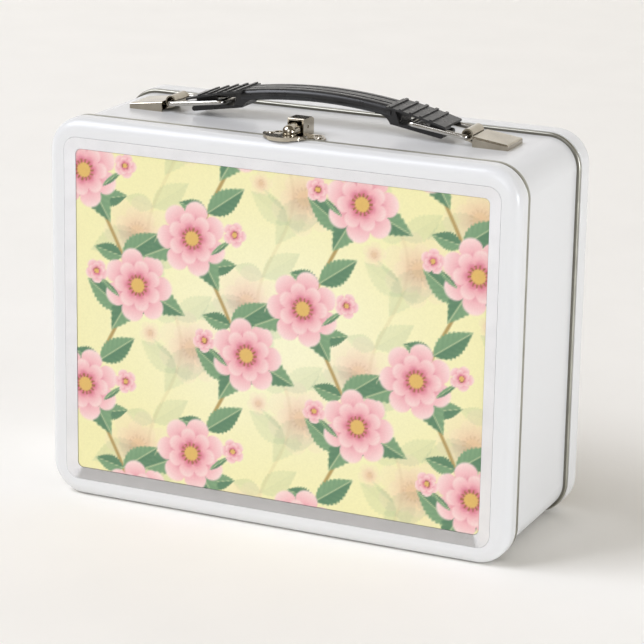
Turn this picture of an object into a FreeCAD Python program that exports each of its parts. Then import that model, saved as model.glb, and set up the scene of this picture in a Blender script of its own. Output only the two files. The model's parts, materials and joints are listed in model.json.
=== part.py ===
"""Metal lunch box: a pressed lid and back on a wrapped band, with a lever latch and a handle on wire loops.

Frame: X to the right, Y from the front to the back, Z up; the origin is under the middle of the case.
All sizes are in millimetres.
"""
import FreeCAD, Part
import math
import os

V = FreeCAD.Vector
ALONG_X = V(1, 0, 0)
ALONG_Y = V(0, 1, 0)
ALONG_Z = V(0, 0, 1)

# Working lengths
hair = 1e-4                  # shorter lengths count as nothing
overcut = 1.0                # cutting bodies reach this far past a face

# Case
case_width = 216.0
case_height = 170.0
case_depth = 88.0
corner_radius = 15.0         # corners of the case seen from the front
edge_round = 5.0             # from the faces of the pressed shells to their sides
sheet = 0.5                  # tinplate
lid_depth = 9.6              # front face to the lid's rear edge
lid_gap = 0.4                # dark line between the lid and the front bead
back_depth = 13.6            # back face to the back shell's front edge
bead_radius = 1.1
hair_line = 0.1              # flat left between the two rounds of a bead
rear_bead_cover = 0.2        # rear bead over the back shell's edge
bead_inset = 1.2             # bead's centre line, in from the outside of the shells
band_inset = 1.7             # outside of the band, in from the outside of the shells
rim_reach = 4.0              # how far the lid's stepped rim goes into the case
rim_clearance = 0.4
rim_low_end = 20.0           # the rim leaves the hinge side free below this height

# Picture on the lid
frame_margin = 7.9           # painted margin round the recess
recess_radius = 6.0
recess_depth = 1.8
bezel_width = 5.2
bezel_drop = 1.0             # how far the bevel falls from its outer to its inner edge
bezel_fit = 0.1
picture_radius = 2.5
panel_thickness = 0.6
panel_fit = 0.15
back_panel_drop = 1.0        # pressed step on the back

# Hinges under the lid
hinge_inset = 46.0           # middle of each hinge, in from the side of the case
hinge_length = 28.0
lid_knuckle_length = 11.0
knuckle_gap = 0.3
hinge_pin_radius = 0.55
running_fit = 0.05           # radial clearance of a pin in its bore
leaf_sheet = 0.5
case_leaf_reach = 10.0
lid_leaf_reach = 4.0
knuckle_room = 0.4

# Handle brackets on the band's top
handle_line = 2.0            # brackets and handle, behind the middle of the case
bracket_offset = 69.2        # barrel's axis from the middle of the case
wire_height = 3.8            # loop's outer bar above the band
barrel_drop = 0.6            # outer bar's axis below the barrel's
barrel_play = 0.9            # outer bar's room in the barrel
barrel_sheet = 0.6
barrel_length = 12.4
strap_foot_start = 6.0       # foot of the strap, outward from the barrel's axis
strap_foot_length = 11.0
hood_start = 3.2
hood_length = 15.7
hood_width = 17.5
hood_high_end = 4.5
hood_low_end = 2.4
hood_sheet = 0.7
hood_round = 0.8
bracket_rivet_radius = 1.2
bracket_rivet_head = 1.9
bracket_rivet_head_height = 0.9
bracket_rivet_spacing = 7.0
bracket_rivet_start = 3.85   # rivets' row from the inner end of the strap's foot
rivet_tail_height = 0.6

# Wire loops
wire_radius = 1.1
loop_length = 25.6           # barrel's axis to the cross bar's axis
loop_half_width = 8.6        # middle to an arm's axis
loop_bend = 2.2
loop_rest_angle = 7.4        # upwards, towards the middle
handle_travel = 14.0         # how far the handle lifts

# Handle
grip_top_height = 16.0       # top of the arch above the band
grip_arch_radius = 215.0
grip_half_length = 60.3
grip_thickness = 5.0
grip_width = 15.0
grip_round = 2.4
grip_groove_width = 1.3
grip_groove_depth = 0.5
grip_groove_offset = 2.7
end_start = 33.5             # from the middle to the start of the ribbed ends
end_width = 19.0
end_thickness = 0.9
rib_count = 5
rib_pitch = 4.6
rib_first = 6.6              # last rib from the end of the handle
rib_width = 1.3
rib_height = 0.6
foot_inner = 34.5            # lower corner of the arch's foot, from the middle
foot_inner_height = 5.4      # and above the band
foot_outer = 57.5
foot_outer_height = 1.6
foot_thickness = 2.2
foot_width = 13.6
foot_wall = 4.0
web_width = 9.0
slot_play = 0.3              # room round the cross bar in its slot
arch_sweep = 7.0             # length of the curve from the grip down to the foot
arch_sweep_bend = 0.3        # share of the sweep that lies outside its middle point

# Latch on the band's top
latch_plate_sheet = 0.8
latch_plate_gap = 1.2        # behind the front bead
latch_plate_depth = 12.0
latch_plate_half_width = 9.0
scallop_radius = 2.7
scallop_stand = 0.3          # front and rear scallops, proud of the plate's straight edges
scallop_lap = 0.5            # outer scallop over the plate's end
scallop_dish_radius = 1.7
scallop_dish_depth = 0.35
housing_setback = 6.1        # behind the plate's front
housing_depth = 10.5
housing_width = 7.4
housing_height = 6.9
housing_back_height = 5.7
housing_sheet = 0.7
housing_chamfer = 2.2
latch_pivot_back = 4.6       # pivot behind the housing's front
latch_pivot_height = 3.2     # pivot above the plate
latch_pin_radius = 0.7
latch_pin_recess = 0.3
lever_side_gap = 0.3
lever_sheet = 0.7
lever_barrel_wall = 0.65
lever_hover = 0.4            # lip above the lid's top
lip_half_width = 9.8
lip_reach = 8.6              # lip in front of its straight side
lip_behind_seam = 0.4
arm_front = 2.0              # end of the lever's arm in front of the housing
hump_radius = 2.9            # rounded hump between the arm and the lip
hump_gap = 1.1               # in front of the housing
hump_length = 4.9            # straight part of the hump
hump_rise = 1.5              # hump's axis above the lip's underside
lip_curl = 0.3               # front edge of the lip turned down
lip_curl_start = 2.7         # behind the case's front face
lip_rim_width = 0.9
lip_rim_height = 0.6
tooth_width = 3.2
tooth_sheet = 0.8
tooth_behind_front = 7.0     # tooth behind the case's front face
tooth_drop = 1.8             # tooth below the lid's top
tooth_room = 0.5
keeper_sheet = 0.8
keeper_width = 14.0
keeper_length = 3.6
keeper_gap = 0.15            # behind the keeper, to the lid's stepped rim
spring_wire_radius = 0.25
spring_length = 3.5
spring_leg = 3.4
spring_play = 0.3            # round the pin and beside the lever's lugs
latch_rivet_radius = 0.9
latch_rivet_head = 1.5
latch_rivet_head_height = 0.8

# Places worked out from the sizes above
front = -case_depth / 2
seam = front + lid_depth
bead_front = seam + lid_gap + bead_radius
back_edge = case_depth / 2 - back_depth
hinge_offset = case_width / 2 - hinge_inset
latch_plate_front = bead_front + bead_radius + latch_plate_gap
housing_front = latch_plate_front + housing_setback
housing_back = housing_front + housing_depth
bead_rear = back_edge - bead_radius + rear_bead_cover
band_top = case_height - band_inset
knuckle_radius = hinge_pin_radius + running_fit + leaf_sheet
barrel_bore = wire_radius + barrel_play
barrel_radius = barrel_bore + barrel_sheet
wire_z = band_top + wire_height
barrel_z = wire_z + barrel_drop
loop_rest = math.radians(loop_rest_angle)
cross_bar_z = wire_z + loop_length * math.sin(loop_rest)
plate_top = band_top + latch_plate_sheet
pivot_y = housing_front + latch_pivot_back
pivot_z = plate_top + latch_pivot_height
lip_low = case_height + lever_hover
lever_ring = latch_pin_radius + running_fit + lever_barrel_wall
hump_back = housing_front - hump_gap
hump_nose = hump_back - hump_length
spring_radius = latch_pin_radius + spring_play + spring_wire_radius


def box(x0, x1, y0, y1, z0, z1):
    """Block between two corners."""
    return Part.makeBox(x1 - x0, y1 - y0, z1 - z0, V(x0, y0, z0))


def rod(radius, length, start, direction):
    """Round bar from a start point along a direction."""
    return Part.makeCylinder(radius, length, start, direction)


def rounded_rectangle(half, low, high, radius, y):
    """Closed wire in the plane at y: straight sides joined by quarter arcs."""
    centres = [(half - radius, low + radius), (half - radius, high - radius),
               (radius - half, high - radius), (radius - half, low + radius)]
    edges = []
    for k, (x, z) in enumerate(centres):
        first = math.radians(90 * k - 90)
        turns = [first, first + math.pi / 4, first + math.pi / 2]
        points = [V(x + radius * math.cos(a), y, z + radius * math.sin(a)) for a in turns]
        if edges:
            edges.append(Part.makeLine(edges[-1].Vertexes[-1].Point, points[0]))
        edges.append(Part.Arc(*points).toShape())
    edges.append(Part.makeLine(edges[-1].Vertexes[-1].Point, edges[0].Vertexes[0].Point))
    return Part.Wire(edges)


def case_outline(inset, y):
    """Front view of the case, moved in by inset."""
    return rounded_rectangle(case_width / 2 - inset, inset, case_height - inset, corner_radius - inset, y)


def panel_outline(inset, radius, y):
    """Outline on the lid's face that keeps one distance from the case's sides."""
    return rounded_rectangle(case_width / 2 - inset, inset, case_height - inset, radius, y)


def prism(wire, length):
    """Solid between a wire and its copy further back."""
    return Part.Face(wire).extrude(V(0, length, 0))


def side_profile(points, x0, x1):
    """Solid with a polygon of (y, z) points as its side view, between x0 and x1."""
    wire = Part.makePolygon([V(x0, y, z) for y, z in points + points[:1]])
    return Part.Face(wire).extrude(V(x1 - x0, 0, 0))


def front_profile(edges, width):
    """Solid with a closed chain of edges in the plane y = 0 as its front view, centred on that plane."""
    solid = Part.Face(Part.Wire(edges)).extrude(V(0, width, 0))
    solid.translate(V(0, -width / 2, 0))
    return solid


def polygon_edges(points):
    """Edges of a closed polygon of (x, z) points in the plane y = 0."""
    return Part.makePolygon([V(x, 0, z) for x, z in points + points[:1]]).Edges


def wire_ring(path, radius):
    """Round bar bent along a closed path."""
    start = path.Edges[0]
    tangent = start.tangentAt(start.FirstParameter)
    profile = Part.Wire(Part.makeCircle(radius, start.valueAt(start.FirstParameter), tangent))
    return path.makePipeShell([profile], True, False)


def joined(shapes):
    """One clean solid from overlapping ones."""
    return shapes[0].multiFuse(shapes[1:]).removeSplitter()


def rivet(x, y, head_seat, grip, radius, head_radius, head_height):
    """Rivet along Z: a flat cone head on head_seat, a shank through the grip and a formed tail."""
    tail_low = V(0, 0, -grip - rivet_tail_height)
    head = Part.makeCone(head_radius, radius, head_height)
    shank = rod(radius, grip + rivet_tail_height, tail_low, ALONG_Z)
    tail = rod((radius + head_radius) / 2, rivet_tail_height, tail_low, ALONG_Z)
    solid = joined([head, shank, tail])
    solid.translate(V(x, y, head_seat))
    return solid


def mirrored(shape):
    """Left-hand copy of a right-hand piece."""
    return shape.mirror(V(0, 0, 0), ALONG_X)


def on_handle_line(shape):
    """Piece moved back from the plane y = 0 to the handle's line."""
    shape.translate(V(0, handle_line, 0))
    return shape


def edges_at_y(shape, y):
    """Edges that lie wholly in the plane at y."""
    return [e for e in shape.Edges if abs(e.BoundBox.YMin - y) < hair and abs(e.BoundBox.YMax - y) < hair]


def pressed_tray(depth):
    """Open box with its floor at the front and the floor's edge rounded, drawn from one sheet."""
    outside = prism(case_outline(0, front), depth)
    outside = outside.makeFillet(edge_round, edges_at_y(outside, front))
    inside = prism(case_outline(sheet, front + sheet), depth)
    inside = inside.makeFillet(edge_round - sheet, edges_at_y(inside, front + sheet))
    return outside.cut(inside)


def lid_shell():
    """Pressed lid: recess for the picture in front, stepped rim behind, slot for the tooth on top."""
    recess = prism(panel_outline(frame_margin, recess_radius, front), recess_depth)
    step = prism(panel_outline(frame_margin - sheet, recess_radius + sheet, front + sheet / 2),
                 recess_depth + sheet / 2)
    rim_inset = bead_inset + bead_radius + rim_clearance
    flange = prism(case_outline(sheet / 2, seam - sheet), sheet)
    rim = prism(case_outline(rim_inset, seam - sheet), sheet + rim_reach)
    bore = prism(case_outline(rim_inset + sheet, seam - 2 * sheet), 4 * sheet + rim_reach)
    lower = box(-case_width, case_width, seam - 2 * sheet, seam + 2 * rim_reach, -overcut, rim_low_end)
    rim = flange.fuse(rim).cut(bore).cut(lower)
    return joined([pressed_tray(lid_depth), step, rim]).cut(recess).cut(tooth_slot())


def picture_panel():
    """Printed sheet on the floor of the recess."""
    inset = frame_margin + bezel_width + panel_fit
    face = front + recess_depth - panel_thickness
    return prism(panel_outline(inset, picture_radius, face), panel_thickness)


def panel_bezel():
    """Frame round the picture, falling from its outer to its inner edge."""
    outer_inset = frame_margin + bezel_fit
    inner_inset = frame_margin + bezel_width
    block = prism(panel_outline(outer_inset, recess_radius - bezel_fit, front), recess_depth)
    window = prism(panel_outline(inner_inset, picture_radius, front), recess_depth)
    bevel = Part.makeLoft([panel_outline(outer_inset, recess_radius - bezel_fit, front),
                           panel_outline(inner_inset, picture_radius, front + bezel_drop)], True, True)
    return block.cut(window).cut(bevel)


def back_shell():
    """Pressed back: the lid's shape with a shallow pressed panel, turned round."""
    outer = panel_outline(frame_margin, recess_radius, front)
    inner = panel_outline(frame_margin + bezel_width, picture_radius, front + back_panel_drop)
    dent = Part.makeLoft([outer, inner], True, True)
    behind = dent.copy()
    behind.translate(V(0, sheet, 0))
    tray = pressed_tray(back_depth).fuse(behind).removeSplitter().cut(dent)
    return tray.mirror(V(0, 0, 0), ALONG_Y)


def side_band():
    """Wall wrapped round the case, notched for the hinge knuckles and holed for the rivets."""
    length = bead_rear - bead_front
    band = prism(case_outline(band_inset, bead_front), length)
    band = band.cut(prism(case_outline(band_inset + sheet, bead_front - overcut), length + 2 * overcut))
    for side in (-1, 1):
        band = band.cut(hinge_notch(side))
    for x, y in bracket_rivet_places():
        band = band.cut(rivet_hole(x, y, bracket_rivet_radius))
    for x, y in latch_rivet_places():
        band = band.cut(rivet_hole(x, y, latch_rivet_radius))
    return band


def rivet_hole(x, y, radius):
    """Hole through the top of the case for a rivet's shank."""
    deep = 4 * (sheet + wire_height)
    return rod(radius + running_fit, deep, V(x, y, band_top - deep / 2), ALONG_Z)


def bead(y, neighbours):
    """Bare rolled rim with rounded outer edges, slit where it holds the sheets' edges."""
    low = y - bead_radius
    ring = prism(case_outline(bead_inset - bead_radius, low), 2 * bead_radius)
    rim = edges_at_y(ring, low) + edges_at_y(ring, y + bead_radius)
    ring = ring.makeFillet(bead_radius - hair_line, rim)
    ring = ring.cut(prism(case_outline(bead_inset + bead_radius, low - overcut), 2 * (bead_radius + overcut)))
    return ring.cut(neighbours)


def hinge_notch(side):
    """Room that the knuckles need in the bead and in the band's edge."""
    half = hinge_length / 2 + knuckle_gap
    middle = side * hinge_offset
    room = knuckle_radius + knuckle_room
    return box(middle - half, middle + half, bead_front - 2 * room, bead_front + room, -overcut,
               bead_inset + 2 * room)


def knuckle(x0, x1):
    """Curled barrel between two places along the hinge."""
    return rod(knuckle_radius, x1 - x0, V(x0, bead_front, bead_inset), ALONG_X)


def pin_bore():
    """Bore of the hinges, from side to side."""
    start = V(-case_width, bead_front, bead_inset)
    return rod(hinge_pin_radius + running_fit, 2 * case_width, start, ALONG_X)


def case_leaf(side):
    """Hinge leaf inside the band's floor with a knuckle at each end."""
    middle = side * hinge_offset
    half = hinge_length / 2
    inner = lid_knuckle_length / 2 + knuckle_gap
    seat = band_inset + sheet
    start = bead_front + knuckle_radius + knuckle_room
    pin_top = bead_inset + hinge_pin_radius + running_fit
    pieces = [box(middle - half, middle + half, start, start + case_leaf_reach, seat, seat + leaf_sheet)]
    for x0, x1 in ((middle - half, middle - inner), (middle + inner, middle + half)):
        pieces.append(knuckle(x0, x1))
        pieces.append(box(x0, x1, bead_front, start, pin_top, seat + leaf_sheet))
    return joined(pieces).cut(pin_bore())


def lid_leaf(side):
    """Hinge leaf inside the lid's floor with one knuckle in the middle."""
    middle = side * hinge_offset
    half = lid_knuckle_length / 2
    plate = box(middle - half, middle + half, seam - lid_leaf_reach, bead_front - hinge_pin_radius,
                sheet, sheet + leaf_sheet)
    return joined([plate, knuckle(middle - half, middle + half)]).cut(pin_bore())


def hinge_pin(side):
    """Steel wire through one hinge."""
    start = V(side * hinge_offset - hinge_length / 2, bead_front, bead_inset)
    return rod(hinge_pin_radius, hinge_length, start, ALONG_X)


def bracket_rivet_places():
    """Rivets of both brackets, two in a row across each foot."""
    x = bracket_offset + strap_foot_start + bracket_rivet_start
    return [(side * x, handle_line + row * bracket_rivet_spacing / 2) for side in (-1, 1) for row in (-1, 1)]


def bracket_strap():
    """Right-hand strap: a riveted foot that rises and curls loosely round the loop's outer bar."""
    foot_x = bracket_offset + strap_foot_start
    foot_end = foot_x + strap_foot_length
    foot_top = band_top + barrel_sheet
    foot = polygon_edges([(foot_x, band_top), (foot_end, band_top), (foot_end, foot_top), (foot_x, foot_top)])
    low = barrel_z - barrel_radius
    rise = polygon_edges([(bracket_offset, low), (foot_x - barrel_sheet, band_top), (foot_x, band_top),
                          (foot_x, foot_top), (bracket_offset, low + barrel_sheet)])
    barrel = rod(barrel_radius, barrel_length, V(bracket_offset, -barrel_length / 2, barrel_z), ALONG_Y)
    bore_start = V(bracket_offset, -barrel_length, barrel_z)
    bore = rod(barrel_bore, 2 * barrel_length, bore_start, ALONG_Y)
    solid = joined([front_profile(foot, barrel_length), front_profile(rise, barrel_length), barrel]).cut(bore)
    solid = on_handle_line(solid)
    for x, y in bracket_rivet_places():
        solid = solid.cut(rivet_hole(x, y, bracket_rivet_radius))
    return solid


def bracket_hood():
    """Right-hand hood over the strap's foot: a wedge-shaped cap that is open towards the barrel."""
    x0 = bracket_offset + hood_start
    x1 = x0 + hood_length
    high = band_top + hood_high_end
    low = band_top + hood_low_end
    wedge = polygon_edges([(x0, band_top), (x1, band_top), (x1, low), (x0, high)])
    outside = front_profile(wedge, hood_width)
    upper = [e for e in outside.Edges if e.BoundBox.ZMin > band_top + hood_round]
    outside = outside.makeFillet(hood_round, [e for e in upper if e.BoundBox.XMax > x0 + hair])
    inner_end = x1 - hood_sheet
    under = band_top - overcut
    inside = polygon_edges([(x0 - overcut, under), (inner_end, under), (inner_end, low - hood_sheet),
                            (x0, high - hood_sheet), (x0 - overcut, high - hood_sheet)])
    return on_handle_line(outside.cut(front_profile(inside, hood_width - 2 * hood_sheet)))


def bracket_rivets():
    """Four rivets that hold the straps to the band."""
    seat = band_top + barrel_sheet
    sizes = (bracket_rivet_radius, bracket_rivet_head, bracket_rivet_head_height)
    grip = barrel_sheet + sheet
    return Part.makeCompound([rivet(x, y, seat, grip, *sizes) for x, y in bracket_rivet_places()])


def wire_loop():
    """Right-hand loop of round wire at its rest angle, from the barrel to the handle's slot."""
    half_long = loop_length / 2
    path = rounded_rectangle(half_long, -loop_half_width, loop_half_width, loop_bend, 0)
    loop = wire_ring(path, wire_radius)
    loop.rotate(V(0, 0, 0), ALONG_X, 90)
    loop.translate(V(bracket_offset - half_long, 0, wire_z))
    loop.rotate(V(bracket_offset, 0, wire_z), ALONG_Y, loop_rest_angle)
    return on_handle_line(loop)


def arch_point(x, depth):
    """Point of the handle's arch at x, that far under its top line."""
    radius = grip_arch_radius - depth
    centre = band_top + grip_top_height - grip_arch_radius
    return V(x, 0, centre + math.sqrt(radius * radius - x * x))


def arch_bar(half_length, thickness, width):
    """Bar that follows the arch of the handle."""
    top = [arch_point(x, 0) for x in (-half_length, 0, half_length)]
    low = [arch_point(x, thickness) for x in (half_length, 0, -half_length)]
    edges = [Part.Arc(*top).toShape(), Part.makeLine(top[2], low[0]), Part.Arc(*low).toShape(),
             Part.makeLine(low[2], top[0])]
    return front_profile(edges, width)


def handle_foot():
    """Right-hand end under the ribbed plate: the arch's foot, the web and the tongue below the loop."""
    inner_z = band_top + foot_inner_height
    outer_z = band_top + foot_outer_height
    start = arch_point(foot_inner - arch_sweep, grip_thickness)
    bend = V(foot_inner - arch_sweep * arch_sweep_bend, 0, start.z - (start.z - inner_z) * arch_sweep_bend)
    corner = V(foot_inner, 0, inner_z)
    wall_top = arch_point(foot_inner + foot_wall / 2, end_thickness / 2)
    inside_top = arch_point(foot_inner - arch_sweep, end_thickness / 2)
    foot_edges = [Part.Arc(start, bend, corner).toShape(),
                  Part.makeLine(corner, V(foot_inner + foot_wall, 0, inner_z)),
                  Part.makeLine(V(foot_inner + foot_wall, 0, inner_z), wall_top),
                  Part.makeLine(wall_top, inside_top), Part.makeLine(inside_top, start)]
    tongue = polygon_edges([(foot_inner, inner_z), (foot_outer, outer_z),
                            (foot_outer, outer_z + foot_thickness), (foot_inner, inner_z + foot_thickness)])
    web_end = arch_point(foot_outer, end_thickness / 2)
    web_start = arch_point(foot_inner, end_thickness / 2)
    half_foot = foot_thickness / 2
    tip = rod(half_foot, foot_width, V(foot_outer, -foot_width / 2, outer_z + half_foot), ALONG_Y)
    web = polygon_edges([(foot_inner, inner_z + half_foot), (foot_outer, outer_z + half_foot),
                         (web_end.x, web_end.z), (web_start.x, web_start.z)])
    foot = joined([front_profile(foot_edges, foot_width), front_profile(tongue, foot_width), tip,
                   front_profile(web, web_width)])
    return foot.cut(cross_bar_slot())


def cross_bar_slot():
    """Room for the cross bar over the whole travel of the handle, open up to the foot's wall."""
    lifted_angle = math.asin((loop_length * math.sin(loop_rest) + handle_travel) / loop_length)
    lifted_x = bracket_offset - loop_length * math.cos(lifted_angle)
    half_angle = (loop_rest + lifted_angle) / 2
    bulge = loop_length * (math.sin(half_angle) - math.sin(loop_rest)) - handle_travel / 2
    room = wire_radius + slot_play
    return box(foot_inner + foot_wall, lifted_x + room, -end_width, end_width, cross_bar_z - room,
               cross_bar_z + bulge + room)


def handle_rib(x):
    """Raised rib across the top of a ribbed end."""
    seat = arch_point(x, end_thickness / 2)
    tilt = math.degrees(math.asin(x / grip_arch_radius))
    half = end_width / 2
    rib = box(-rib_width / 2, rib_width / 2, -half, half, 0, end_thickness / 2 + rib_height)
    rib.rotate(V(0, 0, 0), ALONG_Y, tilt)
    rib.translate(seat)
    return rib


def grip_groove(side):
    """Shallow groove along the top of the grip."""
    groove = arch_bar(end_start, grip_groove_depth, grip_groove_width)
    groove.translate(V(0, side * grip_groove_offset, 0))
    return groove


def handle_grip():
    """Arched grip with two grooves on top and a ribbed, slotted end at each side."""
    grip = arch_bar(end_start + rib_width, grip_thickness, grip_width)
    long_edges = [e for e in grip.Edges if e.BoundBox.XLength > end_start]
    grip = grip.makeFillet(grip_round, long_edges).cut([grip_groove(-1), grip_groove(1)])
    middle = arch_bar(end_start, 4 * end_thickness, 2 * end_width)
    plates = arch_bar(grip_half_length, end_thickness, end_width).cut(middle)
    foot = handle_foot()
    pieces = [grip, foot, mirrored(foot)] + plates.Solids
    for k in range(rib_count):
        x = grip_half_length - rib_first - k * rib_pitch
        pieces.append(handle_rib(x))
        pieces.append(handle_rib(-x))
    return on_handle_line(joined(pieces))


def scallop_places(side):
    """Middles of the front, rear and outer scallops of one wing."""
    x = side * latch_plate_half_width
    back = latch_plate_front + latch_plate_depth
    outer_x = x + side * (scallop_radius - scallop_lap)
    return [(x, latch_plate_front + scallop_radius), (x, back - scallop_radius),
            (outer_x, (latch_plate_front + back) / 2)]


def latch_rivet_places():
    """One rivet in the outer scallop of each wing."""
    return [scallop_places(side)[-1] for side in (-1, 1)]


def latch_plate():
    """Base plate with three dished scallops on each wing and a tail under the housing."""
    back = latch_plate_front + latch_plate_depth
    half = latch_plate_half_width
    tail = housing_width / 2
    edge = latch_plate_front + scallop_stand
    pieces = [box(-half, half, edge, back - scallop_stand, band_top, plate_top),
              box(-tail, tail, edge, housing_back, band_top, plate_top)]
    dishes = []
    for x, y in scallop_places(-1) + scallop_places(1):
        pieces.append(rod(scallop_radius, latch_plate_sheet, V(x, y, band_top), ALONG_Z))
        dishes.append(rod(scallop_dish_radius, overcut, V(x, y, plate_top - scallop_dish_depth), ALONG_Z))
    holes = [rivet_hole(x, y, latch_rivet_radius) for x, y in latch_rivet_places()]
    return joined(pieces).cut(dishes).cut(holes)


def latch_rivets():
    """Two rivets that hold the latch's base plate."""
    seat = plate_top - scallop_dish_depth
    sizes = (latch_rivet_radius, latch_rivet_head, latch_rivet_head_height)
    grip = seat - band_top + sheet
    return Part.makeCompound([rivet(x, y, seat, grip, *sizes) for x, y in latch_rivet_places()])


def latch_housing():
    """Folded box, open below and to the front, with a rolled edge over the opening."""
    top = plate_top + housing_height
    half = housing_width / 2
    shoulder = housing_back - housing_chamfer
    back_z = plate_top + housing_back_height
    outside = side_profile([(housing_front, plate_top), (housing_front, top), (shoulder, top),
                            (housing_back, back_z), (housing_back, plate_top)], -half, half)
    roof = top - housing_sheet
    under = plate_top - overcut
    inside = side_profile([(housing_front - overcut, under), (housing_front - overcut, roof),
                           (shoulder - housing_sheet / 2, roof),
                           (housing_back - housing_sheet, back_z - housing_sheet / 2),
                           (housing_back - housing_sheet, under)], housing_sheet - half, half - housing_sheet)
    roll_start = V(-half, housing_front + housing_sheet, top - housing_sheet / 2)
    roll = rod(housing_sheet, housing_width, roll_start, ALONG_X)
    return joined([outside.cut(inside), roll]).cut(latch_bore(latch_pin_radius + running_fit))


def latch_bore(radius):
    """Round bar along the latch's pivot, from side to side."""
    return rod(radius, 2 * housing_width, V(-housing_width, pivot_y, pivot_z), ALONG_X)


def latch_pin():
    """Pivot pin, a little shorter than the housing is wide."""
    half = housing_width / 2 - latch_pin_recess
    return rod(latch_pin_radius, 2 * half, V(-half, pivot_y, pivot_z), ALONG_X)


def tooth_slot():
    """Slot for the latch's tooth, down through the lid's top and the keeper under it."""
    y = front + tooth_behind_front
    half = tooth_width / 2 + tooth_room
    low = case_height - sheet - keeper_sheet - overcut
    return box(-half, half, y - tooth_room, y + tooth_sheet + tooth_room, low, case_height + overcut)


def latch_keeper():
    """Slotted plate under the lid's top that the tooth hooks behind."""
    top = case_height - sheet
    end = seam - sheet - keeper_gap
    half = keeper_width / 2
    return box(-half, half, end - keeper_length, end, top - keeper_sheet, top).cut(tooth_slot())


def lever_arm():
    """Arm of the lever: a channel of sheet on the pin, open below, with a rounded rear end."""
    half = housing_width / 2 - housing_sheet - lever_side_gap
    inner = half - lever_sheet
    top = pivot_z + lever_ring
    end_y = housing_front - arm_front
    arm = box(-half, half, end_y, pivot_y, lip_low, top)
    barrel = rod(lever_ring, 2 * half, V(-half, pivot_y, pivot_z), ALONG_X)
    inside = box(-inner, inner, end_y, pivot_y + lever_ring + overcut, lip_low - overcut, top - lever_sheet)
    return arm.fuse(barrel).cut(inside)


def lever_hump():
    """Hump in front of the housing: a lying round bar with a ball nose, flat below."""
    axis_z = lip_low + hump_rise
    bar = rod(hump_radius, hump_length, V(0, hump_nose, axis_z), ALONG_Y)
    nose = Part.makeSphere(hump_radius, V(0, hump_nose, axis_z))
    half = 2 * hump_radius
    below = box(-half, half, hump_nose - half, hump_back + overcut, lip_low - half, lip_low)
    neck = box(-hump_radius, hump_radius, seam - lip_behind_seam, hump_nose, lip_low, lip_low + lever_sheet)
    return joined([bar, nose]).cut(below).fuse(neck)


def half_oval(inset, low, high):
    """Front half of an oval disc on the lip's straight side, that much smaller all round."""
    side_y = seam + lip_behind_seam
    oval = Part.Ellipse(V(0, side_y, low), lip_half_width - inset, lip_reach - inset).toShape()
    disc = Part.Face(Part.Wire(oval)).extrude(V(0, 0, high - low))
    return disc.cut(box(-lip_half_width, lip_half_width, side_y, side_y + lip_reach, low, high))


def thumb_lip():
    """Half-oval lip with a raised rim, its front edge turned down over the lid's edge."""
    floor = lip_low + lever_sheet
    curl_low = lip_low - lip_curl
    half = lip_half_width
    rest = box(-half, half, front + lip_curl_start, seam + lip_reach, curl_low, lip_low)
    curl = half_oval(0, curl_low, lip_low).cut(rest)
    plate = half_oval(0, lip_low, floor + lip_rim_height)
    return plate.cut(half_oval(lip_rim_width, floor, floor + overcut)).fuse(curl)


def lever_tooth():
    """Tooth under the lip that drops through the keeper."""
    y = front + tooth_behind_front
    half = tooth_width / 2
    return box(-half, half, y, y + tooth_sheet, case_height - tooth_drop, lip_low + lever_sheet / 2)


def latch_lever():
    """Lever: an arm on the pin, a rounded hump, a thumb lip in front and a tooth under it."""
    half_room = spring_length / 2 + spring_play
    coil_radius = spring_radius + spring_wire_radius + spring_play
    coil_space = rod(coil_radius, 2 * half_room, V(-half_room, pivot_y, pivot_z), ALONG_X)
    lever = joined([lever_arm(), lever_hump(), thumb_lip(), lever_tooth()])
    return lever.cut(latch_bore(latch_pin_radius + running_fit)).cut(coil_space)


def latch_spring():
    """Close-wound torsion spring on the pin, drawn as a plain sleeve with a back leg and a front leg."""
    half = spring_length / 2
    start = V(-half, pivot_y, pivot_z)
    sleeve = rod(spring_radius + spring_wire_radius, spring_length, start, ALONG_X)
    bore = rod(spring_radius - spring_wire_radius, spring_length, start, ALONG_X)
    pieces = [sleeve]
    for side in (-1, 1):
        x = side * (half - 2 * spring_wire_radius)
        foot = V(x, pivot_y, pivot_z - spring_radius - spring_wire_radius / 2)
        pieces.append(rod(spring_wire_radius, spring_leg, foot, ALONG_Y * side))
    return joined(pieces).cut(bore)


def save(name, shape):
    """Write one piece and report its solids."""
    shape.exportStep("parts/" + name + ".step")
    state = "valid" if shape.isValid() else "BAD"
    print(name, len(shape.Solids), "solid(s)", round(shape.Volume, 2), "mm3", state)


def main():
    os.makedirs("parts", exist_ok=True)
    band = side_band()
    back = back_shell()
    notches = hinge_notch(-1).fuse(hinge_notch(1))
    save("side_band", band)
    save("back_shell", back)
    save("front_bead", bead(bead_front, [band, notches]))
    save("rear_bead", bead(bead_rear, [band, back]))
    save("lid_shell", lid_shell())
    save("picture_panel", picture_panel())
    save("panel_bezel", panel_bezel())
    save("latch_keeper", latch_keeper())
    for side, word in ((-1, "left"), (1, "right")):
        save(word + "_case_leaf", case_leaf(side))
        save(word + "_lid_leaf", lid_leaf(side))
        save(word + "_hinge_pin", hinge_pin(side))
    pairs = {"bracket_strap": bracket_strap(), "bracket_hood": bracket_hood(), "loop": wire_loop()}
    for name, shape in pairs.items():
        save("right_" + name, shape)
        save("left_" + name, mirrored(shape))
    save("bracket_rivets", bracket_rivets())
    save("handle_grip", handle_grip())
    save("latch_plate", latch_plate())
    save("latch_rivets", latch_rivets())
    save("latch_housing", latch_housing())
    save("latch_pin", latch_pin())
    save("latch_lever", latch_lever())
    save("latch_spring", latch_spring())


main()
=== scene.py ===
"""Looks of the metal lunch box: finishes of its pieces, the lid's printed sheet and a plain studio."""
import json
import math

import bpy
import numpy as np
from mathutils import Matrix, Vector


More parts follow.
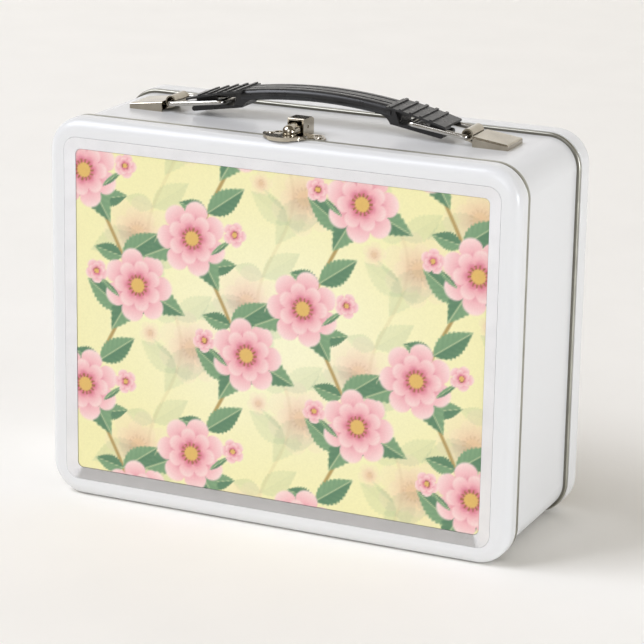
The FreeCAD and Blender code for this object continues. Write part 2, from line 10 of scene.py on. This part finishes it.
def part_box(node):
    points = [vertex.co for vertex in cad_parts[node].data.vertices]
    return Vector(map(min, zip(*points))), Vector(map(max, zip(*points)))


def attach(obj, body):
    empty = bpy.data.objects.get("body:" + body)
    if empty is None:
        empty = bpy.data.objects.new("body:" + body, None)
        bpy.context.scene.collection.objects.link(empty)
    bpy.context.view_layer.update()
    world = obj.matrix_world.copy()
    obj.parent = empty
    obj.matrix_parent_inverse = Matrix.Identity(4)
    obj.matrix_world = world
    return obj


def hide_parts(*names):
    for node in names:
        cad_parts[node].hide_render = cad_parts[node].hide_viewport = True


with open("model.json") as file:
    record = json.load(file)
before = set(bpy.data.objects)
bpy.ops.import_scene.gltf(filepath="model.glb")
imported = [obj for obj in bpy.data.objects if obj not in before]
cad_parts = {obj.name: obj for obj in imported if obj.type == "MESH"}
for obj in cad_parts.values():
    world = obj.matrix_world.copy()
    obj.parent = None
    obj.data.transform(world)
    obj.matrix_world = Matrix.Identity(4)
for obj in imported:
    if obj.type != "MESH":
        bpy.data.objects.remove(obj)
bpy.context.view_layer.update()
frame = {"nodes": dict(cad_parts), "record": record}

MM = 0.001
rim_tinplate = ("a09f95", "b3b2a7", 0.32, 0.42, 1.4)     # dull and bright tint, gloss range and grain in mm


# Colours and nodes

def linear(srgb):
    """Linear light from sRGB values of 0 to 1, or from a hex text such as "c0ffee"."""
    if isinstance(srgb, str):
        srgb = [int(srgb[k:k + 2], 16) / 255 for k in (0, 2, 4)]
    srgb = np.asarray(srgb, dtype=float)
    return np.where(srgb <= 0.04045, srgb / 12.92, ((srgb + 0.055) / 1.055) ** 2.4)


def rgba(hex_text):
    """Four linear values for a colour socket."""
    return (*linear(hex_text), 1.0)


def add(tree, kind, inputs=None, stops=(), **settings):
    """Add one node: set its properties and colour stops, and link or set its inputs by name or place."""
    made = tree.nodes.new(kind)
    for name, value in settings.items():
        setattr(made, name, value)
    for name, value in (inputs or {}).items():
        if isinstance(value, bpy.types.NodeSocket):
            tree.links.new(value, made.inputs[name])
        else:
            made.inputs[name].default_value = value
    for k, (place, hex_text) in enumerate(stops):
        made.color_ramp.elements[k].position = place
        made.color_ramp.elements[k].color = rgba(hex_text)
    return made


def per_grain(size_mm):
    """Texture scale at which one grain is about that many millimetres across."""
    return 1 / (size_mm * MM)


def new_material(name):
    """Empty node material, its tree and the object's own coordinates."""
    material = bpy.data.materials.new(name)
    material.use_nodes = True
    tree = material.node_tree
    tree.nodes.clear()
    return material, tree, add(tree, "ShaderNodeTexCoord").outputs["Object"]


# Finishes

def stoved_enamel():
    """White gloss enamel stoved on pressed tinplate: an even white, with a faint orange-peel in its gloss."""
    material, tree, place = new_material("stoved_white_enamel")
    # Orange-peel is 1 to 2 mm across, and drawn coarser so that it shows
    peel = add(tree, "ShaderNodeTexNoise", {"Vector": place, "Scale": per_grain(4), "Detail": 1.0})
    relief = add(tree, "ShaderNodeBump", {"Height": peel.outputs["Fac"], "Distance": 0.002 * MM})
    shader = add(tree, "ShaderNodeBsdfPrincipled", {
        "Base Color": rgba("e5e6e6"), "Roughness": 0.25, "IOR": 1.5, "Normal": relief.outputs[0]})
    add(tree, "ShaderNodeOutputMaterial", {"Surface": shader.outputs[0]})
    return material


def varnished_print():
    """Inks on a coated metal sheet under satin varnish: the print's colours with a fine grain of ink."""
    material, tree, place = new_material("varnished_metal_print")
    ink = add(tree, "ShaderNodeAttribute", attribute_name="print").outputs["Color"]
    dots = add(tree, "ShaderNodeTexNoise", {"Vector": place, "Scale": per_grain(0.8), "Detail": 2.0})
    grain = add(tree, "ShaderNodeValToRGB", {"Fac": dots.outputs["Fac"]},
                stops=[(0.3, "fafaf9"), (0.7, "ffffff")])
    inked = add(tree, "ShaderNodeMix", {0: 1.0, 6: ink, 7: grain.outputs[0]}, data_type="RGBA",
                blend_type="MULTIPLY")
    wave = add(tree, "ShaderNodeTexNoise", {"Vector": place, "Scale": per_grain(45), "Detail": 1.0})
    gloss = add(tree, "ShaderNodeMapRange", {"Value": wave.outputs["Fac"], "From Min": 0.3,
                                             "From Max": 0.7, "To Min": 0.34, "To Max": 0.42})
    slow = add(tree, "ShaderNodeBump", {"Height": wave.outputs["Fac"], "Distance": 0.04 * MM})
    shader = add(tree, "ShaderNodeBsdfPrincipled", {
        "Base Color": inked.outputs[2], "Roughness": gloss.outputs[0], "IOR": 1.5,
        "Normal": slow.outputs[0]})
    add(tree, "ShaderNodeOutputMaterial", {"Surface": shader.outputs[0]})
    return material


def bare_metal(name, dull, bright, smooth, rough, grain_mm, drawn_out=(1, 1, 1), crest=None):
    """Bare or plated metal: its tint varies in soft blotches and its gloss with the grain that rolling,
    drawing or plating left, drawn out along the axes whose factor is over 1. Where the depth of a bead's
    crest is given, shade is painted into the metal's colour on either side of it, as dark creases."""
    material, tree, place = new_material(name)
    squeezed = add(tree, "ShaderNodeMapping", {"Vector": place, "Scale": [1 / k for k in drawn_out]})
    grain = add(tree, "ShaderNodeTexNoise", {"Vector": squeezed.outputs[0], "Scale": per_grain(grain_mm),
                                             "Detail": 4.0})
    blotch = add(tree, "ShaderNodeTexNoise", {"Vector": place, "Scale": per_grain(9), "Detail": 2.0})
    tint = add(tree, "ShaderNodeValToRGB", {"Fac": blotch.outputs["Fac"]},
               stops=[(0.3, dull), (0.7, bright)])
    colour = tint.outputs[0]
    if crest is not None:
        # Painted shade: from 0.88 mm off the crest outwards the colour darkens to 7d7b72, for the shade where
        # the bead meets the sheet
        depth = add(tree, "ShaderNodeSeparateXYZ", {0: place}).outputs["Y"]
        away = add(tree, "ShaderNodeMath", {0: depth, 1: crest}, operation="SUBTRACT")
        flank = add(tree, "ShaderNodeMath", {0: away.outputs[0]}, operation="ABSOLUTE")
        crease = add(tree, "ShaderNodeMapRange", {"Value": flank.outputs[0], "From Min": 0.88 * MM,
                                                  "From Max": 1.06 * MM})
        crease_shaded = add(tree, "ShaderNodeMix", {0: crease.outputs[0], 6: colour, 7: rgba("7d7b72")},
                      data_type="RGBA")
        colour = crease_shaded.outputs[2]
    gloss = add(tree, "ShaderNodeMapRange", {"Value": grain.outputs["Fac"], "From Min": 0.3,
                                             "From Max": 0.7, "To Min": smooth, "To Max": rough})
    relief = add(tree, "ShaderNodeBump", {"Height": grain.outputs["Fac"], "Distance": 0.003 * MM})
    shader = add(tree, "ShaderNodeBsdfPrincipled", {
        "Base Color": colour, "Metallic": 1.0, "Roughness": gloss.outputs[0],
        "Normal": relief.outputs[0]})
    add(tree, "ShaderNodeOutputMaterial", {"Surface": shader.outputs[0]})
    return material


def moulded_plastic():
    """Black polypropylene from a spark-eroded mould: a fine even grain and a soft sheen."""
    material, tree, place = new_material("moulded_black_plastic")
    grain = add(tree, "ShaderNodeTexNoise", {"Vector": place, "Scale": per_grain(0.9), "Detail": 2.0})
    cloud = add(tree, "ShaderNodeTexNoise", {"Vector": place, "Scale": per_grain(9), "Detail": 2.0})
    tint = add(tree, "ShaderNodeValToRGB", {"Fac": cloud.outputs["Fac"]},
               stops=[(0.3, "1f1f1f"), (0.7, "29292a")])
    gloss = add(tree, "ShaderNodeMapRange", {"Value": cloud.outputs["Fac"], "From Min": 0.3,
                                             "From Max": 0.7, "To Min": 0.24, "To Max": 0.34})
    relief = add(tree, "ShaderNodeBump", {"Height": grain.outputs["Fac"], "Distance": 0.02 * MM})
    shader = add(tree, "ShaderNodeBsdfPrincipled", {
        "Base Color": tint.outputs[0], "Roughness": gloss.outputs[0], "IOR": 1.49,
        "Normal": relief.outputs[0]})
    add(tree, "ShaderNodeOutputMaterial", {"Surface": shader.outputs[0]})
    return material


# Printed sheet

print_ink = {
    "ground_light": "f8f5cf", "ground_deep": "f0e9a6", "stem": "b59a5e",
    "leaf_dark": "4f7a5c", "leaf_light": "86a97f", "leaf_vein": "c5d0a2",
    "petal_rim": "f9dcd6", "petal": "ec9fa9", "petal_throat": "c24d6c",
    "eye": "e0b866", "eye_dot": "9a6a3c",
}


def ink_colour(name):
    """One ink of the print as sRGB values."""
    text = print_ink[name]
    return np.array([int(text[k:k + 2], 16) / 255 for k in (0, 2, 4)])


def covered(distance, softness):
    """Coverage of 1 inside a shape and 0 outside, from the distance inside its edge."""
    return np.clip(distance / softness + 0.5, 0, 1)


def lay_ink(paint, colour, cover):
    """Blend a colour, or an array of colours, over the paint."""
    paint += (colour - paint) * cover[:, None]


def mixed(first, second, share):
    """Array of colours between two, by an array of shares."""
    return first + (second - first) * np.clip(share, 0, 1)[:, None]


def paint_blossom(paint, x, z, middle, radius, petals, turn, strength=1.0):
    """Open blossom in two rows: the edge is radius * (0.68 + 0.32 |cos(petals * angle / 2)| ** 0.5)."""
    across = np.hypot(x - middle[0], z - middle[1]) / radius
    angle = np.arctan2(z - middle[1], x - middle[0]) + turn
    for size, twist in ((1.0, 0.0), (0.68, math.pi / 2)):
        lobe = np.abs(np.cos(petals * angle / 2 + twist)) ** 0.5
        edge = size * (0.68 + 0.32 * lobe)
        depth = across / edge
        vein = 0.05 * np.cos(petals * 11 * angle) * depth
        colour = mixed(ink_colour("petal_throat"), ink_colour("petal"), depth * 1.7 + vein - 0.15)
        share = np.clip((depth - 0.45) * 1.9 * (0.35 + 0.65 * lobe) + vein, 0, 1)
        colour = colour + (ink_colour("petal_rim") - colour) * share[:, None]
        lay_ink(paint, colour, strength * covered(edge - across, 0.06))
    lay_ink(paint, ink_colour("eye"), strength * covered(0.2 - across, 0.05))
    dots = covered(np.cos(14 * angle) - 0.3, 0.5) * covered(0.05 - np.abs(across - 0.24), 0.03)
    lay_ink(paint, ink_colour("eye_dot"), strength * dots)


def paint_leaf(paint, x, z, base, heading, length, width, strength=1.0):
    """Pointed leaf: its half width at a share s of the length is width * sin(pi * s ** 0.8), toothed."""
    along = ((x - base[0]) * math.cos(heading) + (z - base[1]) * math.sin(heading)) / length
    aside = (-(x - base[0]) * math.sin(heading) + (z - base[1]) * math.cos(heading)) / length
    share = np.clip(along, 0, 1)
    half = width / length * np.sin(math.pi * share ** 0.8) * (1 + 0.07 * np.sin(70 * share))
    ribs = 0.5 + 0.5 * np.cos(46 * (along - 0.9 * np.abs(aside)))
    shade = np.where(aside > 0, 0.75, 0.2) + 0.25 * ribs * np.abs(aside) / (half + 0.01)
    colour = mixed(ink_colour("leaf_dark"), ink_colour("leaf_light"), shade)
    inside = covered(half - np.abs(aside), 0.03) * (along > 0) * (along < 1)
    lay_ink(paint, colour, strength * inside)
    vein = covered(0.012 - np.abs(aside), 0.02)
    lay_ink(paint, ink_colour("leaf_vein"), 0.8 * strength * inside * vein)


def paint_vine(paint, x, z, column, sway, pitch, phase, half_width, strength=1.0):
    """Upright vine: x = column + sway * sin(2 pi z / pitch + phase), as a line of even width."""
    turn = 2 * math.pi * z / pitch + phase
    slope = sway * 2 * math.pi / pitch * np.cos(turn)
    away = np.abs(x - column - sway * np.sin(turn)) / np.sqrt(1 + slope ** 2)
    lay_ink(paint, ink_colour("stem"), strength * covered(half_width - away, 0.7))


# Sizes of the print, in millimetres
vine_columns = 4
vine_spacing = 52.0
vine_sway = 8.0
vine_pitch = 96.0            # along one whole wave
vine_half_width = 0.75
vine_turn = math.pi / 2      # each vine's wave after its neighbour's
front_phase = 0.6
faint_phase = 2.2
faint_strength = 0.13
blossom_radius = 16.5
blossom_petals = 7
bud_radius = 5.5
bud_petals = 5
panel_corner = 2.5


def paint_row(paint, x, z, column, phase, strength):
    """One vine with a leaf pair, a blossom and a bud at each crest."""
    paint_vine(paint, x, z, column, vine_sway, vine_pitch, phase, vine_half_width, strength)
    for step in range(-5, 6):
        turn = step * math.pi / 2 + math.pi / 4
        height = (turn - phase) * vine_pitch / (2 * math.pi)
        side = 1 if step % 2 else -1
        root = (column + vine_sway * math.sin(turn), height)
        rise = math.pi / 2 - side * 0.95
        paint_leaf(paint, x, z, root, rise, 21, 5.2, strength)
        paint_leaf(paint, x, z, root, math.pi / 2 + side * 1.35, 14, 3.8, strength)
    for crest in range(-3, 4):
        turn = crest * math.pi + math.pi / 2
        height = (turn - phase) * vine_pitch / (2 * math.pi)
        side = 1 if crest % 2 == 0 else -1
        middle = (column + side * (vine_sway + 5), height)
        paint_leaf(paint, x, z, middle, math.pi / 2 + 2.6 * side, 25, 6.2, strength)
        paint_leaf(paint, x, z, middle, math.pi / 2 - 2.0 * side, 25, 6.2, strength)
        paint_blossom(paint, x, z, middle, blossom_radius, blossom_petals, 0.4 * crest, strength)
        stalk = (column + side * 4, height - 6)
        paint_leaf(paint, x, z, stalk, math.pi / 2 + side * 0.9, 13, 1.2, strength)
        bud = (column - side * 7, height + 4)
        paint_blossom(paint, x, z, bud, bud_radius, bud_petals, 0.3 + crest, strength)


def print_colours(x, z):
    """Trailing-vine print on a pale yellow ground: a faint row of vines behind a strong one."""
    glow = np.exp(-((x / 75) ** 2 + (z / 55) ** 2))
    paint = mixed(ink_colour("ground_deep"), ink_colour("ground_light"), 0.25 + 0.75 * glow)
    rows = ((vine_spacing / 2, faint_phase, faint_strength), (0.0, front_phase, 1.0))
    for shift, phase, strength in rows:
        for k in range(vine_columns):
            column = (k - (vine_columns - 1) / 2) * vine_spacing + shift
            paint_row(paint, x, z, column, phase + k * vine_turn, strength)
    return linear(np.clip(paint, 0, 1))


def rounded_grid(half_x, half_z, radius, columns, rows):
    """Flat grid whose corner squares are drawn in to quarter circles: (a, b) * max(a, b) / hypot(a, b)."""
    # a and b run from 0 to 1 over the corner square
    x, z = np.meshgrid(np.linspace(-half_x, half_x, columns), np.linspace(-half_z, half_z, rows))
    over_x = np.clip(np.abs(x) - half_x + radius, 0, None) / radius
    over_z = np.clip(np.abs(z) - half_z + radius, 0, None) / radius
    pull = np.maximum(over_x, over_z) / np.maximum(np.hypot(over_x, over_z), 1e-9)
    corner = (over_x > 0) & (over_z > 0)
    x = np.where(corner, np.sign(x) * (half_x - radius + radius * over_x * pull), x)
    z = np.where(corner, np.sign(z) * (half_z - radius + radius * over_z * pull), z)
    return x.ravel(), z.ravel()


def printed_sheet():
    """Printed metal sheet in the lid: a fine grid in front, with sides and a back, in the panel's place."""
    low, high = (np.array(corner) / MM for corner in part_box("picture_panel"))
    half_x = (high[0] - low[0]) / 2
    half_z = (high[2] - low[2]) / 2
    middle_z = (high[2] + low[2]) / 2
    columns, rows = 345, 261
    x, z = rounded_grid(half_x, half_z, panel_corner, columns, rows)
    index = np.arange(columns * rows).reshape(rows, columns)
    faces = np.stack([index[:-1, :-1], index[:-1, 1:], index[1:, 1:], index[1:, :-1]], axis=-1)
    faces = faces.reshape(-1, 4)
    rim = np.concatenate([index[0, :-1], index[:-1, -1], index[-1, :0:-1], index[:0:-1, 0]])
    back = np.arange(len(rim)) + columns * rows
    sides = np.stack([rim, back, np.roll(back, -1), np.roll(rim, -1)], axis=-1)
    centre = columns * rows + len(rim)
    fan = np.stack([np.roll(back, -1), back, np.full(len(rim), centre)], axis=-1)
    points_x = np.concatenate([x, x[rim], [0]])
    points_z = np.concatenate([z, z[rim], [0]])
    points_y = np.concatenate([np.full(len(x), low[1]), np.full(len(rim) + 1, high[1])])
    points = np.stack([points_x, points_y, points_z + middle_z], axis=-1) * MM
    mesh = bpy.data.meshes.new("printed_sheet")
    mesh.from_pydata(points.tolist(), [], faces.tolist() + sides.tolist() + fan.tolist())
    colours = np.ones((len(points), 4))
    colours[:, :3] = print_colours(points_x, points_z)
    layer = mesh.color_attributes.new("print", "FLOAT_COLOR", "POINT")
    layer.data.foreach_set("color", colours.ravel())
    mesh.update()
    sheet = bpy.data.objects.new("printed_sheet", mesh)
    bpy.context.scene.collection.objects.link(sheet)
    sheet.data.materials.append(varnished_print())
    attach(sheet, "lid")
    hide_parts("picture_panel")


def rim_hem():
    """Flat hem of the bare front rim, behind its bead: a strip with a round rear edge, carried along the
    case's outline from half way round one lower corner over the top to the other, clear of the lid's
    swing. A point of the profile inset by d lies at the corner's centre + (radius - d) * (cos, sin)."""
    low, high = (np.array(corner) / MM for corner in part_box("front_bead"))
    corner_radius = 14.9     # outside of the bead
    hem_width = 2.1          # behind the bead's crest
    hem_round = 0.8
    hem_depth = 1.7          # down to the band
    crest = (low[1] + high[1]) / 2
    turn = np.linspace(0, math.pi / 2, 7)
    inset = np.concatenate([[0.0], hem_round * (1 - np.cos(turn)), [hem_depth, hem_depth]])
    behind = np.concatenate([[0.0], hem_width - hem_round * (1 - np.sin(turn)), [hem_width, 0.0]])
    steps = 25
    sides = np.repeat([low[0] + corner_radius, high[0] - corner_radius], 2 * steps)
    levels = np.repeat([low[2] + corner_radius, high[2] - corner_radius], steps)
    levels = np.concatenate([levels, levels[::-1]])
    corner_starts = np.radians([225, 180, 90, 0])
    corner_ends = np.radians([180, 90, 0, -45])
    angle = np.linspace(corner_starts, corner_ends, steps).T.ravel()
    reach = corner_radius - inset
    x = sides[:, None] + reach * np.cos(angle)[:, None]
    z = levels[:, None] + reach * np.sin(angle)[:, None]
    y = np.broadcast_to(crest + behind, x.shape)
    points = np.stack([x, y, z], axis=-1).reshape(-1, 3) * MM
    index = np.arange(x.size).reshape(x.shape)
    around = np.roll(index, -1, axis=1)
    faces = np.stack([index[:-1], index[1:], around[1:], around[:-1]], axis=-1).reshape(-1, 4)
    ends = [index[0].tolist(), index[-1, ::-1].tolist()]
    mesh = bpy.data.meshes.new("rim_hem")
    mesh.from_pydata(points.tolist(), [], faces.tolist() + ends)
    hem = bpy.data.objects.new("rim_hem", mesh)
    bpy.context.scene.collection.objects.link(hem)
    # Rolled tinplate as on the beads, a soft grey shine
    mesh.materials.append(bare_metal("rolled_rim_tinplate", *rim_tinplate))
    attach(hem, "case")


def dress_nodes():
    """Give every CAD node the finish of its material slot, and each bead one of its own."""
    finishes = {
        "white_enamel": stoved_enamel(),
        # Back of the print: rolled tinplate with only a clear lacquer
        "picture_print": bare_metal("lacquered_tinplate", "c9c7c1", "d5d3cd", 0.3, 0.4, 2.0, (6, 1, 1)),
        # Bezel: bright rolled aluminium strip, nearly a mirror
        "bezel_metal": bare_metal("bright_rolled_aluminium", "ecedf1", "f3f4f8", 0.1, 0.18, 1.2),
        # Latch and brackets: nickel plate over polished steel, warm and clear in its reflections
        "nickel": bare_metal("warm_nickel_plating", "aaa293", "c0b9aa", 0.11, 0.18, 0.9),
        # Wire: steel drawn through a die, fine lines along its length
        "steel_wire": bare_metal("drawn_steel_wire", "b5b2ab", "c8c5be", 0.16, 0.28, 0.5, (8, 1, 1)),
        # Hinges: zinc plated sheet, dull and finely spangled
        "hinge_steel": bare_metal("zinc_plated_steel", "a6a8a8", "bcbebe", 0.4, 0.52, 2.6),
        "black_plastic": moulded_plastic(),
    }
    # Beads: tinplate left bare by the rolling tool, a soft grey shine on the crest and painted shade in the
    # creases
    beads = {}
    for name in ("front_bead", "rear_bead"):
        crest = sum(corner[1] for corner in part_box(name)) / 2
        beads[name] = bare_metal(name + "_tinplate", *rim_tinplate, crest=crest)
    for part in frame["record"]["subparts"]:
        materials = frame["nodes"][part["node"]].data.materials
        materials.clear()
        materials.append(beads.get(part["node"]) or finishes[part["material_slot"]])


# Studio

def seamless_paper():
    """Matt studio paper: near white, with a trace of fibre in its tone."""
    material, tree, place = new_material("seamless_paper")
    fibre = add(tree, "ShaderNodeTexNoise", {"Vector": place, "Scale": per_grain(60), "Detail": 2.0})
    tint = add(tree, "ShaderNodeValToRGB", {"Fac": fibre.outputs["Fac"]},
               stops=[(0.3, "f8f6f0"), (0.7, "faf8f2")])
    shader = add(tree, "ShaderNodeBsdfPrincipled", {"Base Color": tint.outputs[0], "Roughness": 0.85})
    add(tree, "ShaderNodeOutputMaterial", {"Surface": shader.outputs[0]})
    return material


def paper_sweep():
    """Floor that rises into a wall: a straight run, a quarter circle and a straight run, drawn along X."""
    bend = 0.7               # metres, as all sizes here
    bend_start = 1.3
    front_edge = -3.0
    wall_height = 3.0
    half_width = 4.0
    angle = np.linspace(0, math.pi / 2, 25)
    depth = np.concatenate([[front_edge], bend_start + bend * np.sin(angle), [bend_start + bend]])
    height = np.concatenate([[0.0], bend * (1 - np.cos(angle)), [wall_height]])
    across = np.array([-half_width, half_width])
    x, y = np.meshgrid(across, depth)
    z = np.repeat(height[:, None], 2, axis=1)
    points = np.stack([x.ravel(), y.ravel(), z.ravel()], axis=-1)
    index = np.arange(len(points)).reshape(-1, 2)
    faces = np.stack([index[:-1, 0], index[:-1, 1], index[1:, 1], index[1:, 0]], axis=-1)
    mesh = bpy.data.meshes.new("paper_sweep")
    mesh.from_pydata(points.tolist(), [], faces.tolist())
    mesh.polygons.foreach_set("use_smooth", [True] * len(mesh.polygons))
    sweep = bpy.data.objects.new("paper_sweep", mesh)
    bpy.context.scene.collection.objects.link(sweep)
    mesh.materials.append(seamless_paper())


def soft_lamp(name, place, target, size, power, colour):
    """Square soft box that faces a point."""
    lamp = bpy.data.lights.new(name, "AREA")
    lamp.size = size
    lamp.energy = power
    lamp.color = linear(colour)
    holder = bpy.data.objects.new(name, lamp)
    holder.location = place
    holder.rotation_euler = (Vector(target) - Vector(place)).to_track_quat("-Z", "Y").to_euler()
    bpy.context.scene.collection.objects.link(holder)


def studio_light():
    """High key from the front left, low fills from the front and the right, and an even warm room."""
    soft_lamp("key_lamp", (-3.2, -2.0, 3.9), (0, 0.2, 0), 3.6, 236, "f2f5ff")
    soft_lamp("front_fill", (0.4, -2.6, 1.4), (0, 0, 0.1), 1.6, 17, "f2f6ff")
    soft_lamp("right_fill", (2.3, -0.5, 0.3), (0, 0, 0.1), 0.5, 23, "f2f6ff")
    world = bpy.data.worlds.new("warm_room")
    world.use_nodes = True
    world.node_tree.nodes.clear()
    room = add(world.node_tree, "ShaderNodeBackground", {"Color": rgba("fff2de"), "Strength": 0.245})
    add(world.node_tree, "ShaderNodeOutputWorld", {"Surface": room.outputs[0]})
    bpy.context.scene.world = world


def photo_camera():
    """Camera at the photograph's angle, from a fit to the case's edges and seams."""
    camera = bpy.data.cameras.new("photo_camera")
    camera.sensor_fit = "HORIZONTAL"
    camera.sensor_width = 36.0
    camera.lens = 154.18
    right = Vector((0.909761, 0.414794, 0.016772))
    up = Vector((-0.131440, 0.249494, 0.959414))
    view = Vector((-0.393775, 0.875042, -0.281500))
    turned = Matrix((right, up, -view)).transposed().to_4x4()
    holder = bpy.data.objects.new("photo_camera", camera)
    holder.matrix_world = Matrix.Translation((0.474714, -1.048930, 0.419117)) @ turned
    bpy.context.scene.collection.objects.link(holder)
    bpy.context.scene.camera = holder


dress_nodes()
printed_sheet()
rim_hem()
paper_sweep()
studio_light()
photo_camera()
bpy.context.scene.view_settings.view_transform = "Standard"
